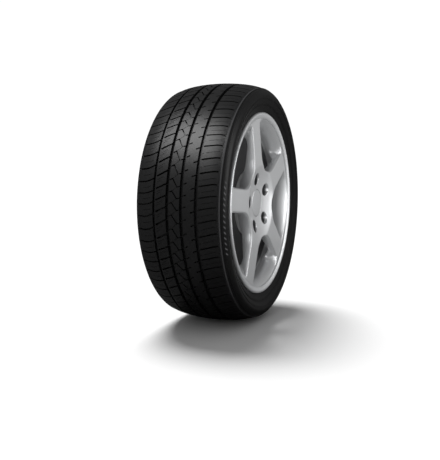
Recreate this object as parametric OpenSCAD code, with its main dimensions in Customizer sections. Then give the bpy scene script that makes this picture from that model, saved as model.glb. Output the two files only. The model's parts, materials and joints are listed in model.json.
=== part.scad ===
// Car tyre mounted on its five-spoke alloy wheel, standing on its tread.
// The wheel's axle is the Y axis and the outer side faces -Y. The origin is the centre of the face
// that bolts to the hub. Profiles are pairs [radius, distance from the centre plane], outer side positive.

/* [Tyre] */
// Overall diameter
tyre_d = 580; // [560:1:600]
// Width between the outsides of the side walls
tyre_w = 213; // [210:0.5:220]
// Width of the tread between its two edges
tread_w = 184; // [176:1:190]
// Drop of the tread surface from its crown to its edge
crown_drop = 12.5; // [8:0.5:15]
// Flattening where the tyre stands on the ground
ground_dip = 1.5; // [1:0.1:3]
// Rubber and belts between the tread surface and the air
tread_thickness = 13.5; // [12:0.5:16]
// Thickness of the side wall at its widest point
side_thickness = 9; // [7:0.5:11]
// Clearance between the bead and the rim
bead_gap = 0.2; // [0.1:0.05:0.5]

/* [Tread pattern] */
// Width of the three wide grooves round the tyre
groove_w = 7.4; // [6:0.1:8.5]
// Width of the narrow groove on the inner side
narrow_groove_w = 5.4; // [4:0.1:7]
// Depth of the grooves round the tyre
groove_depth = 7.5; // [6:0.1:8.5]
// Width of the cross grooves
cross_w = 2.3; // [1.8:0.1:3]
// Depth of the cross grooves
cross_depth = 6.3; // [4:0.1:7]

/* [Rim] */
// Diameter of the bead seats
seat_d = 405.6; // [403:0.1:407]
// Width between the flanges
rim_w = 177.8; // [175:0.1:182]
// Height of the flanges above the bead seats
flange_h = 17.3; // [16.5:0.1:18]
// Wall of the rim
rim_wall = 6; // [5:0.25:7]
// Depth of the well below the bead seats
well_depth = 17; // [15:0.5:18]

/* [Disc] */
// Offset of the hub face from the centre plane
offset = 46; // [42:0.5:48]
// Distance of the spokes' faces from the centre plane
face_at = 93.4; // [92:0.1:95]
// Width of a spoke
spoke_w = 56.6; // [48:0.1:62]
// Width of the bevel along a spoke
bevel_w = 3.1; // [2:0.1:4]
// Depth of the bevel along a spoke
bevel_depth = 3.9; // [2:0.1:6]
// Radius of the windows' inner ends
window_inner_r = 57; // [50:0.5:62]
// Radius of the windows' outer corners
window_corner_r = 17.7; // [12:0.1:22]
// Radius of the dish round the hub
dish_r = 90.6; // [86:0.1:96]
// Width of the hollow in the back of a spoke
hollow_w = 30; // [20:1:34]
// Metal left in front of that hollow
hollow_wall = 9; // [8:0.5:12]

/* [Hub] */
// Diameter of the centre bore
bore_d = 72.6; // [70:0.1:74]
// Length of the centre bore
bore_length = 14; // [12:0.5:16]
// Diameter of the bolt circle
bolt_circle_d = 120; // [118:0.5:124]
// Diameter of the bolt holes
bolt_hole_d = 15; // [13:0.1:16]
// Diameter of the sockets round the bolt heads
socket_d = 30; // [28:0.5:32]
// Distance of the sockets' floors from the hub face
socket_floor = 15; // [13:0.5:18]
// Diameter of the pad that meets the hub
pad_d = 148; // [144:1:156]

/* [Centre cap] */
// Diameter of the cap's face
cap_d = 65.4; // [62:0.2:67]
// Thickness of the cap's face
cap_thickness = 4; // [3:0.25:5]
// Gap round the cap's face
cap_gap = 0.5; // [0.3:0.1:0.8]
// Diameter of the hole that the cap snaps into
cap_hole_d = 58; // [54:0.5:59]
// Diameter of the spring wire in the cap
ring_wire_d = 1.6; // [1:0.1:2]

/* [Valve] */
// Diameter of the valve hole
valve_hole_d = 11.5; // [11.3:0.1:12]
// Length of the valve outside the rim
valve_length = 31; // [28:0.5:33]
// Diameter of the valve cap
valve_cap_d = 9.8; // [9.4:0.1:11]

/* [Hidden] */
$fn = 180;
cut_margin = 1;
spokes = 5;
spoke_step = 360 / spokes;
first_spoke = 30.05;

tyre_r = tyre_d / 2;
half_tyre = tyre_w / 2;
half_tread = tread_w / 2;
seat_r = seat_d / 2;
half_rim = rim_w / 2;
flange_r = seat_r + flange_h;

// Tread section
shoulder_drop = 3.2;
function crown(o) = tyre_r - (crown_drop - shoulder_drop) * pow(abs(o) / half_tread, 2)
    - shoulder_drop * pow(abs(o) / half_tread, 6);
groove_at = [-55, -21.4, 11.8, 45.5];
groove_widths = [narrow_groove_w, groove_w, groove_w, groove_w];
groove_draft = 0.7;
rib_steps = 3;
function rib_edge(k, side) = k < 0 ? -half_tread : k > 3 ? half_tread : groove_at[k] + side * groove_widths[k] / 2;
function rib_points(a, b) = [for (i = [0 : rib_steps]) let (o = a + (b - a) * i / rib_steps) [crown(o), o]];
function groove_floor(k) =
    let (r = crown(groove_at[k]) - groove_depth, half = groove_widths[k] / 2 - groove_draft)
    [[r, groove_at[k] - half], [r, groove_at[k] + half]];
tread_points = [for (k = [0 : 4]) each concat(rib_points(rib_edge(k - 1, 1), rib_edge(k, -1)),
    k < 4 ? groove_floor(k) : [])];

// Side wall and bead section, the outer side's half
widest_r = flange_r + 34;
shoulder_power = 2 / 1.35;
shoulder_points = [for (t = [15 : 15 : 90])
    [widest_r + (crown(half_tread) - widest_r) * pow(cos(t), shoulder_power),
     half_tread + (half_tyre - half_tread) * pow(sin(t), shoulder_power)]];
curl = 6.5;
heel = 4;
seat_taper = 5;
bead_w = 17.5;
function seat(o) = seat_r - (half_rim - heel - o) * tan(seat_taper);
function curl_point(r, a) = [flange_r - curl + r * sin(a), half_rim + curl - r * cos(a)];
side_points = concat(
    shoulder_points,
    [[flange_r + 30, half_tyre - 0.6],
     [flange_r + 26, half_tyre - 1.6],
     [flange_r + 18, half_tyre - 4.8],
     [flange_r + 9, half_tyre - 8.6],
     [flange_r + 4, half_tyre - 10.5]],
    [for (a = [75 : -15 : 0]) curl_point(curl + bead_gap, a)],
    [[seat_r + heel + 1.5, half_rim - bead_gap],
     [seat_r + heel / 2, half_rim - heel / 2 + 0.4],
     [seat(half_rim - heel) + bead_gap, half_rim - heel - 1],
     [seat(half_rim - bead_w) + bead_gap, half_rim - bead_w],
     [seat_r + 3, half_rim - bead_w - 0.5],
     [flange_r - 2, half_rim - side_thickness],
     [flange_r + 11, half_tyre - side_thickness - 9],
     [widest_r, half_tyre - side_thickness],
     [widest_r + 4, half_tyre - side_thickness - 3],
     [crown(half_tread) - tread_thickness - 2, half_tread - 4],
     [crown(half_tread) + 5.6 - tread_thickness, half_tread - 18],
     [crown(half_tread / 2) - tread_thickness, half_tread / 2],
     [crown(0) - tread_thickness, half_tread / 8]]);
function mirrored(points) = [for (i = [len(points) - 1 : -1 : 0]) [points[i][0], -points[i][1]]];

// Pitches of the tread: short, medium and long ones in an uneven order
pitch_order = "LMSSMLLMSSMLMSSMMLMSMLLMSSMMSLMSSMLMSMMSLLMSSMLMSSMMLMSMLSMSLMSMM";
first_pitch = 124.1;
pitches = len(pitch_order);
function weight(k) = pitch_order[k] == "S" ? 0.885 : pitch_order[k] == "M" ? 1 : 1.115;
weights = [for (k = 0, sum = 0; k <= pitches; sum = sum + (k < pitches ? weight(k) : 0), k = k + 1) sum];
function pitch_start(k) = first_pitch + 360 * weights[k] / weights[pitches];
function pitch_length(k) = 360 * weight(k) / weights[pitches];

// Cross grooves of one pitch: paths of [distance from the centre plane, share of the pitch]
open_end = 1.4;
cross_paths = [
    [[rib_edge(3, 1) - open_end, 0], [half_tread - 11.6, -0.24], [half_tread - 2.5, -0.25]],
    [[rib_edge(3, -1) + open_end, 0.09], [33.4, 0.223]],
    [[23.4, -0.28], [rib_edge(2, 1) - open_end, -0.13]],
    [[rib_edge(2, -1) + open_end, 0], [1.6, 0.05], [-10.3, -0.6], [rib_edge(1, 1) - open_end, -0.47]],
    [[rib_edge(1, -1) + open_end, -0.22], [-49.8, 0.2]],
    [[rib_edge(0, -1) + open_end, 0.38], [-70, 0.56], [-80, 0.62], [-half_tread - 5, 0.61]]];

function unit(v) = v / norm(v);
function turned(v) = [-v[1], v[0]];
function path_side(p, i, w) =
    let (before = unit(p[max(i, 1)] - p[max(i, 1) - 1]),
         after = i < len(p) - 1 ? unit(p[i + 1] - p[i]) : before,
         first = i > 0 ? before : after,
         middle = unit(first + after))
    p[i] + w / 2 * turned(middle) / (middle * first);
function ribbon(p, w) = concat(
    [for (i = [0 : len(p) - 1]) path_side(p, i, w)],
    [for (i = [len(p) - 1 : -1 : 0]) path_side(p, i, -w)]);

module cross_groove(path, k) {
    start = path[0][0];
    end = path[len(path) - 1][0];
    floor_start = crown(start) - cross_depth;
    floor_end = crown(end) - cross_depth;
    tilt = atan((floor_end - floor_start) / (end - start));
    pitch_mm = pitch_length(k) * PI / 180 * tyre_r;
    flat_path = [for (p = path) [p[1] * pitch_mm, (p[0] - start) / cos(tilt)]];
    rotate([0, 0, pitch_start(k)])
        translate([floor_start, 0, start])
            rotate([0, tilt, 0])
                rotate([90, 0, 90])
                    linear_extrude(cross_depth + 3)
                        polygon(ribbon(flat_path, cross_w));
}

module on_axle() {
    rotate([90, 0, 0]) translate([0, 0, -offset]) children();
}

module tyre() {
    color([0.09, 0.09, 0.1])
        difference() {
            on_axle()
                difference() {
                    rotate_extrude()
                        polygon(concat(tread_points, side_points, mirrored(side_points)));
                    for (k = [0 : pitches - 1], path = cross_paths) cross_groove(path, k);
                }
            translate([-half_tyre, -half_tyre, -tyre_r - half_tyre + ground_dip])
                cube([tyre_w, tyre_w * 2, half_tyre]);
        }
}

// Rim section
flange_lip = 10.6;
ledge_r = seat_r - 2.3;
hump_at = half_rim - 22.9;
ledge_at = half_rim - 26.4;
well_r = seat_r - well_depth;
well_top = 51.5;
well_start = 42;
well_end = 20;
rear_top = 8;
rear_r = seat_r - 4.8;
front_wall = 8.5;
window_step = 0.7;
window_outer_r = seat_r - front_wall;
barrel_r = window_outer_r + window_step;
slope_run = [ledge_r - well_r, well_top - well_start];
slope_out = [-slope_run[1], slope_run[0]] / norm(slope_run);
function slope_at(r) = well_top + slope_out[1] * rim_wall
    - (ledge_r + slope_out[0] * rim_wall - r) * slope_run[1] / slope_run[0];
bead_seat_points = [
    [ledge_r, ledge_at],
    [seat_r - 0.2, hump_at - 0.8],
    [seat_r - 0.2, hump_at + 0.8],
    [seat(hump_at + 3.5), hump_at + 3.5],
    [seat_r, half_rim - heel],
    [seat_r + heel * 0.3, half_rim - heel * 0.3],
    [seat_r + heel, half_rim]];
curl_points = [for (a = [0 : 15 : 90]) curl_point(curl, a)];
lip_points = [
    [flange_r - 0.9, half_rim + 8.6],
    [flange_r - 3.5, half_rim + flange_lip],
    [flange_r - 7.5, half_rim + flange_lip - 0.2]];

// Disc section, from the lip in to the centre bore
lip_r = seat_r + 1.8;
dish_depth = 12.3;
dish_floor = face_at - dish_depth;
recess_r = cap_d / 2 + cap_gap;
cap_seat = dish_floor - cap_thickness;
cap_hole_r = cap_hole_d / 2;
snap_lip = 7;
relief_r = cap_hole_r + 3;
bore_r = bore_d / 2;
pad_r = pad_d / 2;
function dish(r) = dish_floor + dish_depth * pow((r - recess_r) / (dish_r - recess_r), 1.5);
dish_steps = 8;
front_points = concat(
    [[lip_r, face_at + 2.6], [lip_r - 0.8, face_at]],
    [for (i = [dish_steps : -1 : 0]) let (r = recess_r + (dish_r - recess_r) * i / dish_steps) [r, dish(r)]]);
hub_points = [
    [recess_r, cap_seat],
    [cap_hole_r, cap_seat],
    [cap_hole_r, cap_seat - snap_lip],
    [relief_r, cap_seat - snap_lip],
    [relief_r, offset + bore_length],
    [bore_r, offset + bore_length],
    [bore_r, offset]];
back_points = [
    [pad_r, offset],
    [pad_r + 3, offset + 3],
    [pad_r + 10, offset + 13.8],
    [pad_r + 19.4, offset + 20.3],
    [pad_r + 24, offset + 22.2],
    [window_outer_r - 26.3, offset + 33.4],
    [window_outer_r - 8.3, offset + 36],
    [window_outer_r - 3.3, offset + 34.5],
    [barrel_r - 0.7, offset + 31],
    [barrel_r, offset + 26]];
barrel_points = [
    [barrel_r, slope_at(barrel_r)],
    [well_r - rim_wall, slope_at(well_r - rim_wall)],
    [well_r - rim_wall, well_end - 3],
    [rear_r - rim_wall, rear_top - 4],
    [rear_r - rim_wall, -half_rim + 12],
    [seat_r - rim_wall, -half_rim - 1],
    [flange_r - 12, -half_rim - flange_lip + 4]];
well_points = [
    [rear_r, -ledge_at + 6],
    [rear_r, rear_top],
    [well_r, well_end],
    [well_r, well_start],
    [ledge_r, well_top]];
wheel_points = concat(hub_points, back_points, barrel_points, mirrored(lip_points), mirrored(curl_points),
    mirrored(bead_seat_points), well_points, bead_seat_points, curl_points, lip_points, front_points);

// Windows between the spokes, drawn about their own middle line
half_step = spoke_step / 2;
arc_steps = 12;
function arc(x, r, from, to, y = 0) = [for (i = [0 : arc_steps]) let (a = from + (to - from) * i / arc_steps)
    [x + r * cos(a), y + r * sin(a)]];
function window_points(side, inner_r, corner_r, outer_r) =
    let (inner_x = (side + inner_r) / sin(half_step),
         reach = outer_r - corner_r,
         corner = half_step - asin((side + corner_r) / reach),
         square = 90 + half_step,
         x = reach * cos(corner),
         y = reach * sin(corner))
    concat(arc(inner_x, inner_r, square, 360 - square),
        arc(x, corner_r, 360 - square, 360 - corner, -y),
        arc(0, outer_r, -corner, corner),
        arc(x, corner_r, corner, square, y));
half_spoke = spoke_w / 2;
bevel_at = face_at - bevel_depth;
cove_at = face_at - 9.4;
window_floor = slope_at(barrel_r) + 1;
sliver = 0.01;

function window_outline(inset, outer_r, corner_r) =
    window_points(half_spoke + inset, window_inner_r - inset, corner_r, outer_r);
bevel_slope = bevel_w / bevel_depth;
module window() {
    translate([0, 0, window_floor])
        linear_extrude(half_rim)
            polygon(window_outline(0, window_outer_r, window_corner_r));
}
module window_bevel() {
    inset = cut_margin * bevel_slope;
    hull() {
        translate([0, 0, bevel_at - cut_margin])
            linear_extrude(sliver)
                polygon(window_outline(inset, window_outer_r - inset, window_corner_r - inset));
        translate([0, 0, face_at + cut_margin])
            linear_extrude(sliver)
                polygon(window_outline(-bevel_w - inset, window_outer_r + bevel_w + inset,
                    window_corner_r + bevel_w + inset));
    }
}
module window_cove() {
    inside = window_outer_r - 6;
    intersection() {
        translate([0, 0, cove_at - 3])
            linear_extrude(half_rim)
                polygon(window_outline(-bevel_w / 2, lip_r + cut_margin, window_corner_r / 2));
        rotate_extrude()
            polygon([[inside, cove_at - 2], [window_outer_r, cove_at], [window_outer_r + 4, cove_at + 1.8],
                [window_outer_r + 7, cove_at + 5], [lip_r - 1.6, face_at + cut_margin], [inside, face_at + cut_margin]]);
    }
}

module spoke_hollow() {
    inner = dish_r + 13.4;
    outer = window_outer_r - 14.3 - hollow_w / 2;
    translate([0, 0, window_floor])
        linear_extrude(face_at - hollow_wall - window_floor)
            union() {
                translate([inner, 0]) circle(hollow_w / 2);
                translate([outer, 0]) circle(hollow_w / 2);
                translate([inner, -hollow_w / 2]) square([outer - inner, hollow_w]);
            }
}

bolt_r = bolt_circle_d / 2;
bolt_hole_r = bolt_hole_d / 2;
cone_r = 12;
cone_angle = 30;
module bolt_seat() {
    translate([bolt_r, 0, offset]) {
        translate([0, 0, -cut_margin]) cylinder(r = bolt_hole_r, h = socket_floor + 2 * cut_margin);
        translate([0, 0, socket_floor - (cone_r - bolt_hole_r) / tan(cone_angle)])
            cylinder(r1 = bolt_hole_r, r2 = cone_r, h = (cone_r - bolt_hole_r) / tan(cone_angle));
        translate([0, 0, socket_floor]) cylinder(d = socket_d, h = half_rim);
    }
}

pad_pocket_depth = 12;
module pad_pocket() {
    ring = [bore_r + 9, pad_r - 7];
    half = 15;
    translate([0, 0, offset - cut_margin])
        linear_extrude(pad_pocket_depth + cut_margin)
            polygon(concat(arc(0, ring[0], -half * 0.6, half * 0.6), arc(0, ring[1], half, -half)));
}

// Valve, drawn along its own axis from the wall of the rim
valve_angle = first_spoke + 180;
valve_tilt = atan(slope_out[0] / slope_out[1]);
valve_point = [(ledge_r + well_r) / 2, (well_top + well_start) / 2] + slope_out * rim_wall;
valve_hole_r = valve_hole_d / 2;
spot_depth = 0.4;
spot_r = 9.6;
wall_far = -rim_wall + spot_depth;
module at_valve() {
    rotate([0, 0, valve_angle])
        translate([valve_point[0], 0, valve_point[1]])
            rotate([0, valve_tilt, 0])
                children();
}
module valve_seat() {
    at_valve() {
        translate([0, 0, -rim_wall - cut_margin]) cylinder(r = valve_hole_r, h = rim_wall + 2 * cut_margin);
        translate([0, 0, -spot_depth]) cylinder(r = spot_r, h = rim_wall);
        translate([0, 0, -2 * rim_wall]) cylinder(r = spot_r, h = rim_wall + spot_depth);
    }
}

module wheel() {
    color([0.72, 0.73, 0.75])
        on_axle()
            difference() {
                rotate_extrude() polygon(wheel_points);
                for (k = [0 : spokes - 1]) rotate([0, 0, first_spoke + half_step + k * spoke_step]) {
                    window();
                    window_bevel();
                    window_cove();
                    pad_pocket();
                }
                for (k = [0 : spokes - 1]) rotate([0, 0, first_spoke + k * spoke_step]) {
                    spoke_hollow();
                    bolt_seat();
                }
                valve_seat();
            }
}

// Snap-in centre cap with its spring wire
cap_wall = 2;
leg_r = cap_hole_r - 0.3;
leg_length = 9.5;
wire_r = ring_wire_d / 2;
wire_at = cap_seat - 8.1;
legs = 6;
leg_slot = 8;
module centre_cap() {
    color([0.7, 0.71, 0.73])
        on_axle()
            difference() {
                rotate_extrude()
                    polygon([[0, dish_floor + 0.6], [cap_d / 4, dish_floor + 0.45], [cap_d / 2 - 2, dish_floor],
                        [cap_d / 2, dish_floor - 0.8], [cap_d / 2, cap_seat], [leg_r, cap_seat],
                        [leg_r, cap_seat - snap_lip - 0.1], [leg_r + 1.2, cap_seat - snap_lip - 0.9],
                        [leg_r, cap_seat - leg_length], [leg_r - cap_wall - 1.5, cap_seat - leg_length],
                        [leg_r - cap_wall - 1.5, cap_seat - leg_length + 0.5],
                        [leg_r - cap_wall, cap_seat - leg_length + 0.5], [leg_r - cap_wall, cap_seat + 1],
                        [0, cap_seat + 1]]);
                for (k = [0 : legs - 1]) rotate([0, 0, k * 360 / legs])
                    translate([leg_r - 2 * cap_wall, -leg_slot / 2, cap_seat - leg_length - cut_margin])
                        cube([3 * cap_wall, leg_slot, leg_length - 0.5]);
            }
}
module cap_ring() {
    color([0.6, 0.6, 0.62])
        on_axle()
            translate([0, 0, wire_at])
                rotate_extrude(angle = 340)
                    translate([leg_r - cap_wall - wire_r - 0.05, 0]) circle(wire_r, $fn = 32);
}

// Snap-in rubber valve with its brass tube, core and cap
tube_r = 3;
thread_r = 3.85;
chamber_r = 2.6;
air_r = 1.7;
foot = -rim_wall - 6.6;
neck = valve_length - 9.5;
core_seat = valve_length - 17;
module valve_body() {
    color([0.08, 0.08, 0.08])
        on_axle() at_valve()
            rotate_extrude($fn = 64)
                polygon([[tube_r, foot], [8, foot], [9.3, foot + 2.1], [9.3, wall_far], [valve_hole_r - 0.05, wall_far],
                    [valve_hole_r - 0.05, -spot_depth], [7.4, -spot_depth], [7.4, 2], [6, 6], [5.3, neck - 1.5],
                    [5, neck], [tube_r, neck]]);
}
module valve_tube() {
    color([0.75, 0.6, 0.3])
        on_axle() at_valve()
            rotate_extrude($fn = 64)
                polygon([[air_r, foot], [tube_r, foot], [tube_r, neck], [thread_r, neck],
                    [thread_r, valve_length - 0.4], [thread_r - 0.4, valve_length], [chamber_r, valve_length],
                    [chamber_r, core_seat], [air_r, core_seat - 1.5]]);
}
module valve_core() {
    color([0.78, 0.65, 0.35])
        on_axle() at_valve()
            rotate_extrude($fn = 48)
                polygon([[0, core_seat - 4], [air_r - 0.3, core_seat - 4], [air_r - 0.3, core_seat - 1.4],
                    [chamber_r - 0.1, core_seat + 0.3], [chamber_r - 0.1, core_seat + 5],
                    [chamber_r - 0.7, core_seat + 5], [chamber_r - 0.7, core_seat + 10],
                    [chamber_r - 0.1, core_seat + 10], [chamber_r - 0.1, valve_length - 2.5],
                    [0.7, valve_length - 2.5], [0.7, valve_length - 0.5], [0, valve_length - 0.5]]);
}
flutes = 12;
cap_top = 2.2;
module valve_cap() {
    color([0.1, 0.1, 0.1])
        on_axle() at_valve()
            difference() {
                rotate_extrude($fn = 64)
                    polygon([[thread_r + 0.1, neck + 0.8], [valve_cap_d / 2, neck + 0.8],
                        [valve_cap_d / 2, valve_length + cap_top - 1], [valve_cap_d / 2 - 1, valve_length + cap_top],
                        [0, valve_length + cap_top], [0, valve_length], [thread_r + 0.1, valve_length]]);
                for (k = [0 : flutes - 1]) rotate([0, 0, k * 360 / flutes])
                    translate([valve_cap_d / 2 + 0.2, 0, neck + 2.5])
                        cylinder(r = 0.6, h = valve_length, $fn = 24);
            }
}

tyre();
wheel();
centre_cap();
cap_ring();
valve_body();
valve_tube();
valve_core();
valve_cap();
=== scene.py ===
"""Looks of a road tyre on its five-spoke alloy wheel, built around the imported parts."""

import json
import math

import bmesh
import bpy
import numpy as np
from bpy.props import FloatProperty, FloatVectorProperty, IntProperty, PointerProperty, StringProperty
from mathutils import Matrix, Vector
from mathutils.geometry import delaunay_2d_cdt


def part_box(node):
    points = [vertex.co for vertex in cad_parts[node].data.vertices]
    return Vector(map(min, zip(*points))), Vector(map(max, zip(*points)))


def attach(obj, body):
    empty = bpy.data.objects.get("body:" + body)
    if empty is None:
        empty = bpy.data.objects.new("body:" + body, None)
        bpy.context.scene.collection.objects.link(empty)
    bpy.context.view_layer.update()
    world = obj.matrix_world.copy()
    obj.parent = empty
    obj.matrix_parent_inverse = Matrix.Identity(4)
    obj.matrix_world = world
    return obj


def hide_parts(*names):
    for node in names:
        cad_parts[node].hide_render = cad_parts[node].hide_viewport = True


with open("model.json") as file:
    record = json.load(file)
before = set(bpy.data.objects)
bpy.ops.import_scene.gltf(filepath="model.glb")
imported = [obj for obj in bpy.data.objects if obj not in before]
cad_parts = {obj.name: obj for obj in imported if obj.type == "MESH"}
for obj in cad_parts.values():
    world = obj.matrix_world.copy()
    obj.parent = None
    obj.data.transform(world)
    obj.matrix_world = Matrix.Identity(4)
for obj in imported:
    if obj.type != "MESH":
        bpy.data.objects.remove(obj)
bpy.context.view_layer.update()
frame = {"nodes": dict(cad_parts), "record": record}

bl_info = {
    "name": "Road Tyre on Alloy Wheel",
    "version": (1, 0, 0),
    "blender": (4, 5, 0),
    "location": "3D View > Sidebar > Wheel",
    "description": "Builds the tread, side walls, alloy wheel and studio of a mounted road tyre",
    "category": "Add Mesh",
}

MM = 0.001
MOUNTS = {mount["name"]: mount for mount in frame["record"]["mounts"]}
TYRE_LOW, TYRE_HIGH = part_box("tyre")

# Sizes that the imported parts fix, in millimetres
CENTRE_PLANE = (TYRE_LOW.y + TYRE_HIGH.y) / 2 / MM
TYRE_R = TYRE_HIGH.z / MM
GROUND = -TYRE_LOW.z / MM
BORE_R = MOUNTS["hub_bore"]["dims"]["r_mm"]
BORE_LENGTH = MOUNTS["hub_bore"]["dims"]["length_mm"]
BOLT_R = MOUNTS["wheel_bolts"]["dims"]["pcd_mm"] / 2
BOLT_HOLE_R = MOUNTS["wheel_bolts"]["dims"]["hole_r_mm"]
SPOKES = MOUNTS["wheel_bolts"]["dims"]["count"]

# Rim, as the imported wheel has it: radius and distance from the centre plane, in millimetres
SEAT_R = 202.8
HALF_RIM = 88.9
FLANGE_H = 17.3
FLANGE_R = SEAT_R + FLANGE_H
CURL = 6.5
HEEL = 4
SEAT_TAPER = 5


# Outlines and sections

def point_at(angle, radius):
    """A point at an angle in degrees, seen from the wheel's outer side."""
    return (radius * math.cos(math.radians(angle)), radius * math.sin(math.radians(angle)))


def seat(o):
    """Radius of the bead seat at a distance from the centre plane."""
    return SEAT_R - (HALF_RIM - HEEL - o) * math.tan(math.radians(SEAT_TAPER))


def curl_point(radius, angle):
    """A point of the flange's round edge, on an arc of the given radius."""
    turn = math.radians(angle)
    return (FLANGE_R - CURL + radius * math.sin(turn), HALF_RIM + CURL - radius * math.cos(turn))


def mirrored(points):
    """The same line on the other side of the first axis, in the opposite order."""
    return [(x, -y) for x, y in reversed(points)]


def moved(points, r, o=0):
    """The same points, each further out by r and further across by o."""
    return [(r + a, o + b) for a, b in points]


def place(points):
    """Points with radius along X and Y and distance along Z, moved into the frame, in metres."""
    points = np.asarray(points, float)
    return np.column_stack([points[:, 0], CENTRE_PLANE - points[:, 2], points[:, 1]]) * MM


class Path:
    """A line of a section, as radius and distance, that is read by its length from the start."""

    def __init__(self, points):
        self.points = np.asarray(points, float)
        steps = np.linalg.norm(np.diff(self.points, axis=0), axis=1)
        self.reach = np.concatenate([[0], np.cumsum(steps)])
        self.length = self.reach[-1]

    def at(self, s):
        s = np.asarray(s, float)
        return np.column_stack([np.interp(s, self.reach, self.points[:, i]) for i in (0, 1)])

    def raised(self, s, height):
        """Points at s, moved out of the surface by height. With the radius upwards, the path has the outside
        on its left."""
        step = 0.6
        along = self.at(np.clip(s + step, 0, self.length)) - self.at(np.clip(s - step, 0, self.length))
        along /= np.linalg.norm(along, axis=1)[:, None]
        out = np.column_stack([along[:, 1], -along[:, 0]])
        return self.at(s) + out * np.asarray(height, float)[:, None]


def rounded(points, radius, steps=4):
    """The same line with its inner corners rounded off."""
    points = [np.asarray(p, float) for p in points]
    result = [points[0]]
    for before, corner, after in zip(points, points[1:], points[2:]):
        back, ahead = before - corner, after - corner
        reach = min(radius, np.linalg.norm(back) * 0.45, np.linalg.norm(ahead) * 0.45)
        start = corner + back / np.linalg.norm(back) * reach
        end = corner + ahead / np.linalg.norm(ahead) * reach
        for i in range(steps + 1):
            t = i / steps
            result.append(start * (1 - t) ** 2 + corner * 2 * t * (1 - t) + end * t ** 2)
    result.append(points[-1])
    return [tuple(p) for p in result]


def ribbon(path, width):
    """Outline of a band of constant width along a line, with square ends."""
    path = np.asarray(path, float)
    steps = np.diff(path, axis=0)
    steps /= np.linalg.norm(steps, axis=1)[:, None]
    before = np.vstack([steps[:1], steps])
    after = np.vstack([steps, steps[-1:]])
    middle = before + after
    middle /= np.linalg.norm(middle, axis=1)[:, None]
    side = np.column_stack([-middle[:, 1], middle[:, 0]]) / np.sum(middle * before, axis=1)[:, None]
    return np.vstack([path + side * width / 2, (path - side * width / 2)[::-1]])


def shortened(path, inset):
    """The same line with both its ends drawn back."""
    path = np.array(path, float)
    path[0] += (path[1] - path[0]) / np.linalg.norm(path[1] - path[0]) * inset
    path[-1] += (path[-2] - path[-1]) / np.linalg.norm(path[-2] - path[-1]) * inset
    return path


def closed(line):
    """A line that returns to its start."""
    return [*line, line[0]]


def distance_to(points, line):
    """Distance of each point to the nearest place of a line."""
    line = np.asarray(line, float)
    nearest = np.full(len(points), np.inf)
    for a, b in zip(line, line[1:]):
        edge = b - a
        share = np.clip(((points - a) @ edge) / (edge @ edge), 0, 1)
        nearest = np.minimum(nearest, np.linalg.norm(points - a - share[:, None] * edge, axis=1))
    return nearest


def depth_inside(points, outline):
    """How far each point lies inside a closed outline, 0 outside it."""
    outline = np.asarray(outline, float)
    inside = np.zeros(len(points), bool)
    for a, b in zip(outline, np.roll(outline, -1, axis=0)):
        crosses = (a[1] > points[:, 1]) != (b[1] > points[:, 1])
        rise = b[1] - a[1] or 1e-12
        inside ^= crosses & (points[:, 0] < a[0] + (points[:, 1] - a[1]) * (b[0] - a[0]) / rise)
    return np.where(inside, distance_to(points, closed(outline)), 0)


def triangulate(loops, lines, tolerance=1e-4):
    """Triangles of the plane that keep every loop and line as edges."""
    points, edges = [], []
    for loop in loops:
        start = len(points)
        points.extend(Vector(p) for p in loop)
        edges.extend((start + i, start + (i + 1) % len(loop)) for i in range(len(loop)))
    for line in lines:
        start = len(points)
        points.extend(Vector(p) for p in line)
        edges.extend((start + i, start + i + 1) for i in range(len(line) - 1))
    out = delaunay_2d_cdt(points, edges, [], 0, tolerance, False)
    return np.array([tuple(p) for p in out[0]]), np.array(out[2])


def new_mesh(name, points, faces):
    mesh = bpy.data.meshes.new(name)
    mesh.from_pydata([tuple(p) for p in points], [], [tuple(int(i) for i in f) for f in faces])
    return mesh


def add_piece(name, mesh, material, nodes=(), sharp_angle=35):
    """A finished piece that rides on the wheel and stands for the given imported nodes."""
    mesh.materials.clear()
    mesh.materials.append(material)
    mesh.shade_smooth()
    mesh.set_sharp_from_angle(angle=math.radians(sharp_angle))
    piece = bpy.data.objects.new(name, mesh)
    bpy.context.scene.collection.objects.link(piece)
    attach(piece, "root")
    if nodes:
        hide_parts(*nodes)
    return piece


def lathe_faces(start, rows, columns, is_ring):
    """Quads between rows of points that follow each other from start, one point for each column."""
    faces = []
    for i in range(rows - 1):
        for j in range(columns if is_ring else columns - 1):
            k = (j + 1) % columns
            a, b = start + i * columns, start + (i + 1) * columns
            faces.append((a + j, a + k, b + k, b + j))
    return faces


# Tread and side walls, in millimetres

HALF_TREAD = 92
HALF_TYRE = 108.6
CROWN_DROP = 12.5
SHOULDER_DROP = 3.2
TREAD_THICKNESS = 13.5
SIDE_THICKNESS = 9
WIDEST_R = FLANGE_R + 41
BEAD_GAP = 0.2
BEAD_W = 17.5
PITCH_COLUMNS = 4
TREAD_ROWS = 21
SIDE_ROWS = 26
ROW_GAP = 0.9
WELD = 0.03
GROOVE_AT = (-55, -21.4, 11.8, 45.5)
GROOVE_WIDTHS = (5.4, 7.4, 7.4, 7.4)
GROOVE_DRAFT = 0.7
CROSS_SHARES = (1.15, 1, 1, 0.95, 1.35, 1.15)
CROSS_DRAFT = 0.3
SIPE_DRAFT = 0.12
DIMPLE_AT = (90.2, 91.5)
DIMPLE_W = 1.8
DIMPLE_DEPTH = 0.9
DIMPLE_DRAFT = 0.25
INNER_REACH = 10
# Side wall below its widest place, counted from the flange's top and from the widest place
SIDE_BULGE = ((37, -0.5), (31, -1.9), (22, -5.4), (12, -9.9), (4, -12.6))
SHOULDER_POWER = 2 / 1.55
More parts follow.
